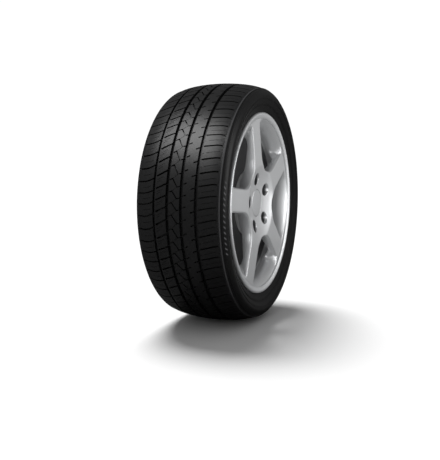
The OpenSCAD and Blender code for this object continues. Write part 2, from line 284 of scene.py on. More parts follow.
# Lines along the shoulder: start, width and height. Ribs of the side wall: start, count, step, width
SHOULDER_LINES = ((0.5, 1.5, -1.0), (3.0, 2.8, 0.5), (6.6, 1.4, -0.8))
RIB_SETS = ((11.5, 1, 0, 0.9), (31.5, 3, 1.5, 0.8), (46.5, 4, 1.6, 0.9))
PITCH_WEIGHTS = {"S": 0.885, "M": 1.0, "L": 1.115}
PITCH_VALUES = ("pitch_start", "pitch_length")


def crown(o):
    """Radius of the tread's surface at a distance from the centre plane."""
    share = np.abs(o) / HALF_TREAD
    return TYRE_R - (CROWN_DROP - SHOULDER_DROP) * share ** 2 - SHOULDER_DROP * share ** 6


def shoulder(angle):
    """A point of the round shoulder, from the tread's edge at 0 to the widest place at 90 degrees."""
    turn = math.radians(angle)
    return (WIDEST_R + (crown(HALF_TREAD) - WIDEST_R) * max(math.cos(turn), 0) ** SHOULDER_POWER,
            HALF_TREAD + (HALF_TYRE - HALF_TREAD) * math.sin(turn) ** SHOULDER_POWER)


def side_section():
    """Outside of a side wall, from the tread's edge to the flange."""
    bulge = moved(SIDE_BULGE, FLANGE_R, HALF_TYRE)
    curl = [curl_point(CURL + BEAD_GAP, a) for a in range(75, -1, -15)]
    return [shoulder(a) for a in range(0, 91, 3)] + rounded(bulge + curl[:1], 4)[:-1] + curl


def bead_section():
    """Bead and air side, from the flange to the middle of the tread's inner side."""
    crown_edge = crown(HALF_TREAD)
    return [(SEAT_R + HEEL + 1.5, HALF_RIM - BEAD_GAP),
            (SEAT_R + HEEL / 2, HALF_RIM - HEEL / 2 + 0.4),
            (seat(HALF_RIM - HEEL) + BEAD_GAP, HALF_RIM - HEEL - 1),
            (seat(HALF_RIM - BEAD_W) + BEAD_GAP, HALF_RIM - BEAD_W),
            (SEAT_R + 3, HALF_RIM - BEAD_W - 0.5),
            (FLANGE_R - 2, HALF_RIM - SIDE_THICKNESS),
            (FLANGE_R + 11, HALF_TYRE - SIDE_THICKNESS - 11),
            (FLANGE_R + 32, HALF_TYRE - SIDE_THICKNESS - 1),
            (FLANGE_R + 39, HALF_TYRE - SIDE_THICKNESS - 4.5),
            (crown_edge - TREAD_THICKNESS - 2, HALF_TREAD - 4),
            (crown_edge + 5.6 - TREAD_THICKNESS, HALF_TREAD - 18),
            (crown(HALF_TREAD / 2) - TREAD_THICKNESS, HALF_TREAD / 2),
            (crown(0) - TREAD_THICKNESS, HALF_TREAD / 8)]


def ridge(start, width, height, flank=0.25):
    """A raised line, or a groove where height is below 0, as lengths and heights along the section."""
    return [(start, 0), (start + flank, height), (start + width - flank, height), (start + width, 0)]


def side_relief(rib_height, rib_sets):
    """Raised lines and grooves of a side wall, from the tread's edge down."""
    knots = [knot for line in SHOULDER_LINES for knot in ridge(*line)]
    for start, count, step, width in rib_sets:
        for k in range(count):
            knots += ridge(start + step * k, width, rib_height)
    return knots


def side_points(knots):
    """Section of a side wall with its relief, as points of radius and distance."""
    path = Path(side_section())
    lengths = {round(s, 4): h for s, h in knots}
    for s in np.linspace(0, path.length, SIDE_ROWS):
        if s in (0, path.length) or all(abs(s - other) > ROW_GAP for other in lengths):
            lengths[round(float(s), 4)] = 0
    order = sorted(lengths)
    heights = np.array([lengths[s] for s in order])
    return [tuple(p) for p in path.raised(np.array(order), heights)]


def tread_features(sizes, pitch):
    """Grooves and sipes of one pitch: outline, depth and draft of each, in millimetres of the flat tread."""
    cross_w, cross_d = sizes.cross_width / MM, sizes.cross_depth / MM
    sipe_w, sipe_d = sizes.sipe_width / MM, sizes.sipe_depth / MM
    groove_d = sizes.groove_depth / MM

    def edge(k, side):
        return GROOVE_AT[k] + side * GROOVE_WIDTHS[k] / 2

    over = 1.4  # how far a cross groove reaches into the groove that it opens into
    cross_paths = [
        [(edge(3, 1) - over, 0), (80.4, -0.24), (89.5, -0.25)],
        [(edge(3, -1) + over, 0.09), (33.4, 0.223)],
        [(23.4, -0.28), (edge(2, 1) - over, -0.13)],
        [(edge(2, -1) + over, 0), (1.6, 0.05), (-10.3, -0.6), (edge(1, 1) - over, -0.47)],
        [(edge(1, -1) + over, -0.22), (-49.8, 0.2)],
        [(edge(0, -1) + over, 0.38), (-70, 0.56), (-80, 0.62), (-HALF_TREAD - INNER_REACH + 2, 0.61)]]
    sipe_paths = [
        [(57.6, 0.46), (72, 0.34), (85.6, 0.25)],
        [(edge(3, 1) - over, 0.52), (53.6, 0.5)],
        [(1.6, 0.05), (-10.3, 0.40)],
        [(-48.3, -0.31), (-38.9, -0.50)],
        [(-47, 0.48), (-33, 0.24)],
        [(-84, 0.12), (-72, 0.09), (-64, 0.0)]]
    features = []

    def add(flat, width, depth, draft):
        bottom = ribbon(shortened(flat, draft), width - 2 * draft)
        features.append((ribbon(flat, width), bottom, depth, draft))

    for shift in (-1, 0, 1):
        for path, share in zip(cross_paths, CROSS_SHARES):
            add([((t + shift) * pitch, o) for o, t in path], cross_w * share, cross_d, CROSS_DRAFT)
        for path in sipe_paths:
            add([((t + shift) * pitch, o) for o, t in path], sipe_w, sipe_d, SIPE_DRAFT)
        for k in range(sizes.edge_dimples):
            x = (shift + (k + 0.5) / sizes.edge_dimples) * pitch
            add([(x, o) for o in DIMPLE_AT], DIMPLE_W, DIMPLE_DEPTH, DIMPLE_DRAFT)
    for at, width in zip(GROOVE_AT, GROOVE_WIDTHS):
        flat = [(-pitch, at), (2 * pitch, at)]
        features.append((ribbon(flat, width), ribbon(flat, width - 2 * GROOVE_DRAFT), groove_d, GROOVE_DRAFT))
    return features


def tread_patch(sizes):
    """Tread of one pitch, down over the inner shoulder, as (share of the pitch, distance, radius)."""
    pitch = 2 * math.pi * TYRE_R / len(sizes.pitch_order)
    features = tread_features(sizes, pitch)
    inner_path = Path(side_section())
    low = -HALF_TREAD - INNER_REACH
    columns = [pitch * j / PITCH_COLUMNS for j in range(PITCH_COLUMNS + 1)]
    inner_rows = [low + INNER_REACH * share for share in (0, 0.33, 0.66)]
    rows = [*np.linspace(-HALF_TREAD, HALF_TREAD, TREAD_ROWS), *inner_rows]
    loops = [outline for feature in features for outline in feature[:2]]
    lines = [[(x, low), (x, HALF_TREAD)] for x in columns] + [[(0, y), (pitch, y)] for y in rows]
    flat, faces = triangulate(loops, lines)
    middle = flat[faces].mean(axis=1)
    kept = (middle[:, 0] > 0) & (middle[:, 0] < pitch) & (middle[:, 1] > low) & (middle[:, 1] < HALF_TREAD)
    faces = faces[kept]
    used, faces = np.unique(faces, return_inverse=True)
    faces = faces.reshape(-1, 3)
    flat = flat[used]
    depth = np.zeros(len(flat))
    for outer, _, deep, draft in features:
        depth = np.maximum(depth, deep * np.clip(depth_inside(flat, outer) / draft, 0, 1))
    beyond = np.clip(-HALF_TREAD - flat[:, 1], 0, None)
    on_shoulder = inner_path.at(beyond)
    depth *= np.clip(1 - beyond / INNER_REACH, 0, 1)
    distance = np.where(beyond > 0, -on_shoulder[:, 1], flat[:, 1])
    radius = np.where(beyond > 0, on_shoulder[:, 0], crown(flat[:, 1])) - depth
    points = [tuple(p) for p in np.column_stack([flat[:, 0] / pitch, distance, radius])]
    return points, [tuple(f) for f in faces]


def pitch_tile(sizes, side_walls):
    """One pitch of the tyre, its tread and the rest of its section, in the measures of tread_patch."""
    points, faces = tread_patch(sizes)
    outer = side_points(side_relief(side_walls.rib_height / MM, RIB_SETS))
    inner = side_points(side_relief(side_walls.rib_height / MM, ()))
    stop = Path(side_section()).at([INNER_REACH])[0]
    inner = [stop] + [p for p in inner if p[1] > stop[1] + 0.5 or p[0] < WIDEST_R]
    section = outer + bead_section() + mirrored(bead_section()) + mirrored(inner)
    faces += lathe_faces(len(points), len(section), PITCH_COLUMNS + 1, False)
    for r, o in section:
        points.extend((j / PITCH_COLUMNS, o, r) for j in range(PITCH_COLUMNS + 1))
    return points, faces


def pitch_layout(sizes):
    """Start and length of each pitch round the tyre, in radians."""
    weights = np.array([PITCH_WEIGHTS[letter] for letter in sizes.pitch_order])
    starts = np.concatenate([[0], np.cumsum(weights)[:-1]]) / weights.sum() * 2 * math.pi
    return starts + sizes.first_pitch, weights / weights.sum() * 2 * math.pi


def combine(operation, other_first=False):
    """The method of a value that joins it with another one in a math node."""
    def method(value, other):
        return value.graph.math(operation, *((other, value) if other_first else (value, other)))
    return method


class Value:
    """A node's value that can be used in a Python expression."""

    def __init__(self, graph, socket):
        self.graph = graph
        self.socket = socket

    __add__, __radd__ = combine("ADD"), combine("ADD", True)
    __sub__, __rsub__ = combine("SUBTRACT"), combine("SUBTRACT", True)
    __mul__, __pow__ = combine("MULTIPLY"), combine("POWER")

    def between(self, low, high):
        """0 below low, 1 above high, and smooth from one to the other."""
        return self.graph.node("ShaderNodeMapRange", {"interpolation_type": "SMOOTHSTEP"},
                               Value=self, From_Min=low, From_Max=high)[0]

    def inside(self, low, high, soft):
        """1 between low and high, 0 outside, with edges that are soft over a given width."""
        return self.between(low, low + soft) * (1 - self.between(high - soft, high))


class Graph:
    """A node tree in the making, whose nodes give values."""

    def __init__(self, tree):
        self.tree = tree

    def node(self, kind, settings=None, **sockets):
        node = self.tree.nodes.new(kind)
        for key, value in (settings or {}).items():
            setattr(node, key, value)
        for key, value in sockets.items():
            socket = node.inputs[int(key[1:])] if key[1:].isdigit() else node.inputs[key.replace("_", " ")]
            if isinstance(value, Value):
                self.tree.links.new(value.socket, socket)
            else:
                socket.default_value = value
        return [Value(self, output) for output in node.outputs]

    def math(self, operation, *values):
        sockets = {f"i{k}": value for k, value in enumerate(values)}
        return self.node("ShaderNodeMath", {"operation": operation}, **sockets)[0]

    def blend(self, factor, a, b):
        """Colour a where factor is 0 and b where it is 1."""
        return self.node("ShaderNodeMix", {"data_type": "RGBA"}, i0=factor, i6=a, i7=b)[2]


class Tree(Graph):
    """A Geometry Nodes tree in the making, with its named inputs."""

    def __init__(self, name):
        super().__init__(bpy.data.node_groups.new(name, "GeometryNodeTree"))
        for way in ("INPUT", "OUTPUT"):
            self.tree.interface.new_socket("Geometry", in_out=way, socket_type="NodeSocketGeometry")
        self.inputs = {}
        self.start = self.tree.nodes.new("NodeGroupInput")

    def value(self, name, kind):
        item = self.tree.interface.new_socket(name, in_out="INPUT", socket_type="NodeSocket" + kind)
        self.inputs[name] = item.identifier
        return Value(self, self.start.outputs[name])


def wrap_tree():
    """Repeats the pitch tile on every point of the carrier and bends it round the axle."""
    tree = Tree("Pitches round the tyre")
    tile = tree.value("Pitch tile", "Object")
    centre, ground, weld = [tree.value(name, "Float") for name in ("Centre plane", "Ground", "Weld distance")]
    rubber = tree.value("Rubber", "Material")
    carrier = Value(tree, tree.start.outputs["Geometry"])
    source = tree.node("GeometryNodeObjectInfo", Object=tile)[-1]
    copies = tree.node("GeometryNodeInstanceOnPoints", Points=carrier, Instance=source)[0]
    joined = tree.node("GeometryNodeRealizeInstances", Geometry=copies)[0]
    start, length = [tree.node("GeometryNodeInputNamedAttribute", {"data_type": "FLOAT"}, Name=name)[0]
                     for name in PITCH_VALUES]
    position = tree.node("GeometryNodeInputPosition")[0]
    share, distance, radius = tree.node("ShaderNodeSeparateXYZ", Vector=position)
    angle = share * length + start
    across = tree.math("COSINE", angle) * radius
    up = tree.math("MAXIMUM", tree.math("SINE", angle) * radius, ground * -1)
    spot = tree.node("ShaderNodeCombineXYZ", X=across, Y=centre - distance, Z=up)[0]
    bent = tree.node("GeometryNodeSetPosition", Geometry=joined, Position=spot)[0]
    welded = tree.node("GeometryNodeMergeByDistance", Geometry=bent, Distance=weld)[0]
    painted = tree.node("GeometryNodeSetMaterial", Geometry=welded, Material=rubber)[0]
    tree.node("NodeGroupOutput", Geometry=painted)
    return tree


def applied(carrier, tree, values):
    """The plain mesh that a tree makes from its carrier."""
    modifier = carrier.modifiers.new("Nodes", "NODES")
    modifier.node_group = tree.tree
    for name, value in values.items():
        modifier[tree.inputs[name]] = value
    depsgraph = bpy.context.evaluated_depsgraph_get()
    mesh = bpy.data.meshes.new_from_object(carrier.evaluated_get(depsgraph))
    carrier.modifiers.remove(modifier)
    return mesh


# Alloy wheel: radius and distance from the centre plane, in millimetres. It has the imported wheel's sizes,
# but its windows end in a flared outer wall.

HUB_LEVEL = CENTRE_PLANE
FIRST_SPOKE = 30.05
SPOKE_STEP = 360 / SPOKES
HALF_STEP = SPOKE_STEP / 2
FACE = 93.4
HALF_SPOKE = 28.3
WINDOW_INNER_R = 57
WINDOW_CORNER_R = 17.7
WINDOW_OUTER_R = 186
LIP_R = 204.6
LIP_STEP = 2.6
DISH_R = 90.6
DISH_DEPTH = 12.3
CAP_RECESS_R = 33.2
CAP_THICKNESS = 4
CAP_HOLE_R = 29
SNAP_LIP = 7
RELIEF_R = CAP_HOLE_R + 3
PAD_R = 74
SOCKET_R = 15
SOCKET_FLOOR = 15
CONE_R = 12
HOLLOW_FLOOR = FACE - 9
HOLLOW_R = 15
HOLLOW_DRAFT = 1.2
POCKET_DEPTH = 12
POCKET_NEAR = 9
POCKET_FAR = 15
RIM_STEPS = 288
ARC_STEPS = 36
# Outer wall of the windows: the level of its inner edge by radius, and its rise by the distance from there
EDGE_LEVEL = 61
EDGE_LEVELS = ((150, 84), (166, 80), (174, 74), (181, 66.5), (WINDOW_OUTER_R, EDGE_LEVEL))
FLARE = ((0, 0), (2, 8.5), (4, 14), (6.5, 18.8), (9, 22.6), (11.5, 25.8), (14, 28.4), (16.6, 30.8),
         (LIP_R - WINDOW_OUTER_R, FACE - EDGE_LEVEL))
WEB = 4
# Back of the disc: radius and height over the face that lies on the hub
BACK = ((BORE_R, 0),
        *moved(((0, 0), (1.2, 0.5), (3, 3), (10, 13.8), (15, 17.8), (19.4, 20.3), (24, 22.2)), PAD_R),
        *moved(((-26.3, 33.4), (-14, 35.6), (-8.3, 36), (-3.3, 34.5), (-1, 31), (0, 27)), WINDOW_OUTER_R))
RING_LEVEL = 54.64
BEVEL_STEPS = (0, 0.12, 0.4, 0.9, 1.9, 2.6, 3.1, 3.7, 4.6)
EDGE_STEPS = (0, 0.12, 0.4, 0.9, 1.9)
CAP_STEPS = (0, 0.25, 0.8)
DISH_STEPS = (-1.5, 0, 1.5, 4)
SOCKET_STEPS = (0, 0.2, 0.6, 1.2)
BOLT_CHAMFER = 0.6
EDGE_PARTS = 6
BEVEL_REACH = 12
DISH_BEND = 0.6
# How far off a circle a point may lie and still count as on it
SLACK = 0.01
RIM_SLACK = 0.03
WINDOWS = [FIRST_SPOKE + HALF_STEP + SPOKE_STEP * k for k in range(SPOKES)]
SPOKE_ANGLES = [FIRST_SPOKE + SPOKE_STEP * k for k in range(SPOKES)]
BOLTS = [point_at(angle, BOLT_R) for angle in SPOKE_ANGLES]
HOLLOW = (DISH_R + 13.4, WINDOW_OUTER_R - 14.3 - HOLLOW_R)


def arc(centre, radius, start, end, steps=14):
    """Points along an arc, from one angle in degrees to another."""
    spots = [point_at(start + (end - start) * i / steps, radius) for i in range(steps + 1)]
    return [(centre[0] + x, centre[1] + y) for x, y in spots]


def circle(radius, count, centre=(0, 0)):
    """Points round a circle."""
    return arc(centre, radius, 0, 360, count)[:-1]


def turned(points, angle):
    """Points turned about the axle by an angle in degrees."""
    c, s = point_at(angle, 1)
    return [(x * c - y * s, x * s + y * c) for x, y in points]


def spoke_edge(inset):
    """Line round a window's inner end and out along both its spokes, drawn about the window's middle line."""
    radius = WINDOW_INNER_R + inset
    centre = ((HALF_SPOKE + WINDOW_INNER_R) / math.sin(math.radians(HALF_STEP)), 0)
    bend = arc(centre, radius, 90 + HALF_STEP, 270 - HALF_STEP, 24)
    x, y = bend[0]
    step_x, step_y = point_at(HALF_STEP, (LIP_R + 2 - math.hypot(x, y)) / EDGE_PARTS)
    upper = [(x + step_x * i, y + step_y * i) for i in range(EDGE_PARTS, 0, -1)]
    return upper + bend + mirrored(upper)


def window_edge(inset):
    """Closed outline of a window's opening, moved out into the metal by inset."""
    side, corner_r = HALF_SPOKE - inset, WINDOW_CORNER_R + inset
    outer_r = WINDOW_OUTER_R + inset
    reach = outer_r - corner_r
    corner = HALF_STEP - math.degrees(math.asin((side + corner_r) / reach))
    edge = spoke_edge(inset)[EDGE_PARTS:-EDGE_PARTS]
    lower = arc(point_at(-corner, reach), corner_r, -90 - HALF_STEP, -corner)
    outer = arc((0, 0), outer_r, -corner, corner, ARC_STEPS)
    return edge + lower + outer[1:-1] + mirrored(lower)


def barrel_ring():
    """The barrel's outer end, as a ring that runs through the windows' outer edges."""
    reach = WINDOW_OUTER_R - WINDOW_CORNER_R
    corner = HALF_STEP - math.degrees(math.asin((HALF_SPOKE + WINDOW_CORNER_R) / reach))
    ring = []
    for middle in WINDOWS:
        ring += arc((0, 0), WINDOW_OUTER_R, middle - corner, middle + corner, ARC_STEPS)
        ring += arc((0, 0), WINDOW_OUTER_R, middle + corner, middle + SPOKE_STEP - corner, ARC_STEPS)[1:-1]
    return ring


def round_off(distance, radius):
    """How far a rounded edge lies below its face, by the distance from the wall."""
    left = np.clip(radius - distance, 0, radius)
    return radius - np.sqrt(radius ** 2 - left ** 2)


def bevel_drop(distance, bevel_w, bevel_depth):
    """How far the spoke's bevelled edge lies below its face, by the distance from the wall."""
    slope = bevel_depth / bevel_w
    straight = (bevel_w - distance) * slope
    soft = 0.55
    return (straight + np.sqrt(straight ** 2 + soft ** 2)) / 2 - soft / 12 + round_off(distance, 0.5)


def stadium(start, end, radius):
    """Outline with two round ends, of the hollow behind a spoke."""
    return arc((end, 0), radius, -90, 90, 16) + arc((start, 0), radius, 90, 270, 16)


def pocket(inset):
    """Outline of one of the pockets between the bolts, in the pad that lies on the hub."""
    inner, outer = BORE_R + 9 + inset, PAD_R - 7 - inset
    trim = math.degrees(inset / inner)
    near_end, far_end = POCKET_NEAR - trim, POCKET_FAR - trim
    return arc((0, 0), inner, near_end, -near_end, 8) + arc((0, 0), outer, -far_end, far_end, 12)


def disc_plan():
    """Plan of the disc, as triangles that follow every edge of its two sides."""
    rings = sorted({CAP_HOLE_R, RELIEF_R, BORE_R, *(CAP_RECESS_R + d for d in CAP_STEPS),
                    *np.linspace(CAP_RECESS_R + 4, DISH_R - 4, 12), *(DISH_R + d for d in DISH_STEPS),
                    *(r for r, _ in BACK[:-1]), *(WINDOW_OUTER_R + d for d, _ in FLARE[1:])})
    loops = [circle(r, 180 if r < 100 else RIM_STEPS) for r in rings] + [barrel_ring()]
    lines = []
    for angle in WINDOWS:
        lines += [turned(spoke_edge(d), angle) for d in BEVEL_STEPS]
        loops += [turned(window_edge(d), angle) for d in EDGE_STEPS]
        loops += [turned(pocket(d), angle) for d in (0, 1.0)]
    for angle, bolt in zip(SPOKE_ANGLES, BOLTS):
        bolt_rings = [BOLT_HOLE_R, BOLT_HOLE_R + BOLT_CHAMFER, CONE_R] + [SOCKET_R + d for d in SOCKET_STEPS]
        loops += [circle(r, 48, bolt) for r in bolt_rings]
        loops += [turned(stadium(*HOLLOW, HOLLOW_R - d), angle) for d in (0, HOLLOW_DRAFT, HOLLOW_DRAFT + 1)]
    return triangulate(loops, lines, 1e-3)


def bolt_distance(points):
    """Distance of each point to the nearest bolt's middle."""
    return np.min([np.hypot(*(points - bolt).T) for bolt in BOLTS], axis=0)


def disc_zones(middle):
    """Which surface lies over and under each triangle, by the triangle's middle, and 0 in an opening."""
    r = np.hypot(*middle.T)
    bolt_r = bolt_distance(middle)
    in_window = np.zeros(len(middle), bool)
    in_cove = np.zeros(len(middle), bool)
    for angle in WINDOWS:
        in_window |= depth_inside(middle, turned(window_edge(0), angle)) > 0
        beyond = [(FLANGE_R * 1.3, -FLANGE_R / 2), (FLANGE_R * 1.3, FLANGE_R / 2)]
        in_cove |= depth_inside(middle, turned(spoke_edge(0) + beyond, angle)) > 0
    over = np.ones(len(middle), int)
    over[in_cove] = 2
    over[bolt_r < SOCKET_R - SLACK] = 3
    over[r < CAP_RECESS_R] = 4
    over[in_window | (bolt_r < BOLT_HOLE_R - SLACK) | (r < CAP_HOLE_R) | (r > LIP_R)] = 0
    under = np.ones(len(middle), int)
    under[r < BORE_R] = 2
    under[r < RELIEF_R] = 3
    under[r > WINDOW_OUTER_R - SLACK] = 4
    return over, under


def disc_levels(flat, sizes):
    """Level of every surface over and under each point of the plan, by the numbers of disc_zones."""
    r = np.hypot(*flat.T)
    bolt_r = bolt_distance(flat)
    to_edge = np.min([distance_to(flat, turned(spoke_edge(0), a)) for a in WINDOWS], axis=0)
    to_window = np.min([distance_to(flat, closed(turned(window_edge(0), a))) for a in WINDOWS], axis=0)

    share = np.clip((r - CAP_RECESS_R) / (DISH_R - CAP_RECESS_R), 0, None)
    dish = FACE - DISH_DEPTH + DISH_DEPTH * share ** 1.5
    face = (dish + FACE - np.sqrt((dish - FACE) ** 2 + DISH_BEND)) / 2
    drop = bevel_drop(to_edge, sizes.bevel_width / MM, sizes.bevel_depth / MM)
    face = face - drop * (to_edge < BEVEL_REACH)
    face = face - round_off(bolt_r - SOCKET_R, 1.2) - round_off(r - CAP_RECESS_R, 0.8)
    cove = np.interp(r, *np.array(EDGE_LEVELS).T) + np.interp(to_window, *np.array(FLARE).T)
    face = np.where(r > WINDOW_OUTER_R, np.maximum(face, cove), face)
    cove, face = np.where(r > LIP_R - RIM_SLACK, FACE, (cove, face))
    cone = HUB_LEVEL + SOCKET_FLOOR - np.clip(CONE_R - bolt_r, 0, None) * math.sqrt(3)
    cap_seat = np.full(len(flat), FACE - DISH_DEPTH - CAP_THICKNESS)
    tops = {1: face, 2: cove - round_off(to_window, 1.2) * (r < LIP_R - 1), 3: cone, 4: cap_seat}

    back = HUB_LEVEL + np.interp(r, *np.array(BACK).T) + round_off(to_window, 1.5)
    back = back + np.clip(BOLT_HOLE_R + BOLT_CHAMFER - bolt_r, 0, BOLT_CHAMFER)
    back = np.where(r > EDGE_LEVELS[0][0], np.minimum(back, cove - WEB), back)
    for angle in SPOKE_ANGLES:
        depth = depth_inside(flat, turned(stadium(*HOLLOW, HOLLOW_R), angle))
        inside = np.clip(depth / HOLLOW_DRAFT, 0, 1)
        corner = round_off(depth - HOLLOW_DRAFT, 1.0) * (depth > HOLLOW_DRAFT * 0.9)
        back = np.where(depth > 0, back + (HOLLOW_FLOOR - corner - back) * inside, back)
    for angle in WINDOWS:
        depth = depth_inside(flat, turned(pocket(0), angle))
        back = back + POCKET_DEPTH * np.clip(depth, 0, 1)
    lows = {1: back, 2: np.full(len(flat), HUB_LEVEL + BORE_LENGTH), 3: cap_seat - SNAP_LIP,
            4: np.full(len(flat), RING_LEVEL)}
    return tops, lows


def disc_points(sizes):
    """The disc as points of (x, y, distance from the centre plane), its faces, and its two open rings."""
    flat, faces = disc_plan()
    middle = flat[faces].mean(axis=1)
    middle_r = np.hypot(*middle.T)
    over, under = disc_zones(middle)
    tops, lows = disc_levels(flat, sizes)

    index, points, result = {}, [], []
    columns = [set() for _ in flat]

    def at(i, height):
        key = (int(i), round(float(height), 3))
        if key not in index:
            index[key] = len(points)
            points.append((flat[i][0], flat[i][1], key[1]))
            columns[key[0]].add(key[1])
        return index[key]

    walls = []

    def wall(i, j, first, second):
        for k in (i, j):
            at(k, first[k])
            at(k, second[k])
        walls.append((i, j, first, second))

    def column(i, start, end):
        low, high = sorted((round(float(start), 3), round(float(end), 3)))
        inside = sorted(h for h in columns[i] if low <= h <= high)
        return [index[(int(i), h)] for h in (inside if start <= end else reversed(inside))]

    beside = {}
    for number, triangle in enumerate(faces):
        if over[number]:
            result.append(tuple(at(i, tops[over[number]][i]) for i in triangle))
            if under[number] != 4:
                result.append(tuple(at(i, lows[under[number]][i]) for i in triangle[::-1]))
        for i, j in zip(triangle, np.roll(triangle, -1)):
            beside.setdefault((min(i, j), max(i, j)), {})[i < j] = number
    for (i, j), sides in beside.items():
        if len(sides) < 2:
            continue
        left, right = sides[True], sides[False]
        if over[left] and over[right]:
            if over[left] != over[right]:
                wall(i, j, tops[over[right]], tops[over[left]])
            if under[left] != under[right]:
                wall(i, j, lows[under[left]], lows[under[right]])
        elif max(middle_r[left], middle_r[right]) > LIP_R:
            continue
        elif over[left]:
            wall(i, j, lows[under[left]], tops[over[left]])
        elif over[right]:
            wall(i, j, tops[over[right]], lows[under[right]])
    for i, j, first, second in walls:
        a, b = column(i, first[i], second[i]), column(j, first[j], second[j])
        while len(a) > 1 or len(b) > 1:
            if len(a) >= len(b):
                result.append((a[0], b[0], a[1]))
                a = a[1:]
            else:
                result.append((a[0], b[0], b[1]))
                b = b[1:]

    r = np.hypot(*flat.T)
    open_rings = []
    for chosen, heights in ((np.abs(r - LIP_R) < RIM_SLACK, tops[1]), (np.ones(len(flat), bool), lows[4])):
        ring = [i for i in np.flatnonzero(chosen) if (int(i), round(float(heights[i]), 3)) in index]
        ring.sort(key=lambda i: math.atan2(flat[i][1], flat[i][0]))
        open_rings.append([at(i, heights[i]) for i in ring])
    return points, result, open_rings


def rim_section():
    """Section of the rim from the lip round both flanges and back to the barrel's outer end."""
    lip = [*moved(((0.15, 1.4), (0.7, LIP_STEP), (2.2, 3.5)), LIP_R, FACE),
           *moved(((8, 99.2), (10, 99.6), (12, 99.5), (13.8, 98.7)), LIP_R), (FLANGE_R - 0.5, 97.2)]
    bead = [(SEAT_R + HEEL, HALF_RIM), (SEAT_R + HEEL * 0.3, HALF_RIM - HEEL * 0.3),
            (SEAT_R, HALF_RIM - HEEL), (seat(69.5), 69.5),
            *moved(((-0.2, 66.8), (-0.2, 65.2), (-2.3, 62.5)), SEAT_R)]
    floor = moved(((-2.3, 51.5), (-17, 42), (-17, 20), (-4.8, 8), (-4.8, -56.5), (-2.3, -62.5)), SEAT_R)
    well = rounded([bead[-1], *floor], 6)[1:-1]
    curl = [curl_point(CURL, a) for a in range(90, -1, -10)]
    inner = rounded([(LIP_R + 8, -99.2), (208.1, -95.5), (196.8, -HALF_RIM - 1), (192, -76.9), (192, 4),
                     (179.8, 17), (179.8, 45.27), (WINDOW_OUTER_R, RING_LEVEL)], 8)[1:-1]
    return lip + curl + bead + well + mirrored(bead) + mirrored(curl) + mirrored(lip[3:]) + inner


def zipped(points, first, second):
    """Triangles between two rings whose points, sorted by angle, don't stand opposite each other."""
    angles_a, angles_b = [[math.atan2(points[i][1], points[i][0]) for i in ring] for ring in (first, second)]
    faces, i, j = [], 0, 0
    while i < len(first) or j < len(second):
        next_a = angles_a[i + 1] if i + 1 < len(first) else angles_a[0] + 2 * math.pi
        next_b = angles_b[j + 1] if j + 1 < len(second) else angles_b[0] + 2 * math.pi
        a, b = first[i % len(first)], second[j % len(second)]
        if j >= len(second) or (i < len(first) and next_a <= next_b):
            faces.append((a, first[(i + 1) % len(first)], b))
            i += 1
        else:
            faces.append((a, second[(j + 1) % len(second)], b))
            j += 1
    return faces


def wheel_mesh(sizes):
    """The wheel: its disc, the rim turned round the axle, and the joints between the two."""
    points, faces, (lip, barrel) = disc_points(sizes)
    section = rim_section()
    start = len(points)
    turns = [-math.pi + 2 * math.pi * (i + 0.5) / RIM_STEPS for i in range(RIM_STEPS)]
    for r, o in section:
        points.extend((r * math.cos(t), r * math.sin(t), o) for t in turns)
    faces += lathe_faces(start, len(section), RIM_STEPS, True)
    faces += zipped(points, lip, range(start, start + RIM_STEPS))
    faces += zipped(points, range(len(points) - RIM_STEPS, len(points)), barrel)
    mesh = new_mesh("alloy_wheel", place(points), faces)
    build = bmesh.new()
    build.from_mesh(mesh)
    bmesh.ops.recalc_face_normals(build, faces=build.faces)
    build.to_mesh(mesh)
    build.free()
    return mesh


def length_prop(name, text, default):
    return FloatProperty(name=name, description=text, default=default, unit="LENGTH")


def angle_prop(name, text, degrees):
    return FloatProperty(name=name, description=text, default=math.radians(degrees), subtype="ANGLE")


def level_prop(name, text, default):
    return FloatProperty(name=name, description=text, default=default, min=0)


def colour_prop(name, text, default):
    return FloatVectorProperty(name=name, description=text, default=default, subtype="COLOR", size=3)


class TreadSizes(bpy.types.PropertyGroup):
    pitch_order: StringProperty(
        name="Pitch order", description="Short, medium and long pitches round the tyre",
        default="LMSSMLLMSSMLMSSMMLMSMLLMSSMMSLMSSMLMSMMSLLMSSMLMSSMMLMSMLSMSLMSMM")
    first_pitch: angle_prop("First pitch", "Where the first pitch starts", 124.1)
    groove_depth: length_prop("Groove depth", "Depth of the grooves round the tyre", 0.0075)
    cross_width: length_prop("Cross groove width", "Usual width of the cross grooves", 0.0029)
    cross_depth: length_prop("Cross groove depth", "Depth of the cross grooves", 0.0063)
    sipe_width: length_prop("Sipe width", "Width of the thin cuts in the blocks", 0.0008)
    sipe_depth: length_prop("Sipe depth", "Depth of the thin cuts in the blocks", 0.004)
    edge_dimples: IntProperty(
        name="Edge dimples", description="Small dimples in each pitch along the outer edge", default=5, min=0)


class WheelSizes(bpy.types.PropertyGroup):
    bevel_width: length_prop("Bevel width", "Width of the bevel along a spoke", 0.0031)
    bevel_depth: length_prop("Bevel depth", "Depth of the bevel along a spoke", 0.0039)


class SideWallSizes(bpy.types.PropertyGroup):
    rib_height: length_prop("Rib height", "Height of the fine ribs of the side wall", 0.0004)
    ticks: IntProperty(name="Ticks", description="Slanted ticks round the shoulder", default=140, min=0)


class FinishColours(bpy.types.PropertyGroup):
    rubber: colour_prop("Rubber", "Colour of the tyre", (0.0055, 0.0055, 0.0058))
    silver: colour_prop("Silver paint", "Colour of the wheel's paint", (0.48, 0.487, 0.495))
    barrel: colour_prop("Barrel", "Colour of the rim's inner side", (0.075, 0.075, 0.078))
    brass: colour_prop("Brass", "Colour of the valve's tube", (0.62, 0.45, 0.2))
    floor: colour_prop("Floor", "Colour of the studio floor", (0.9, 0.9, 0.9))


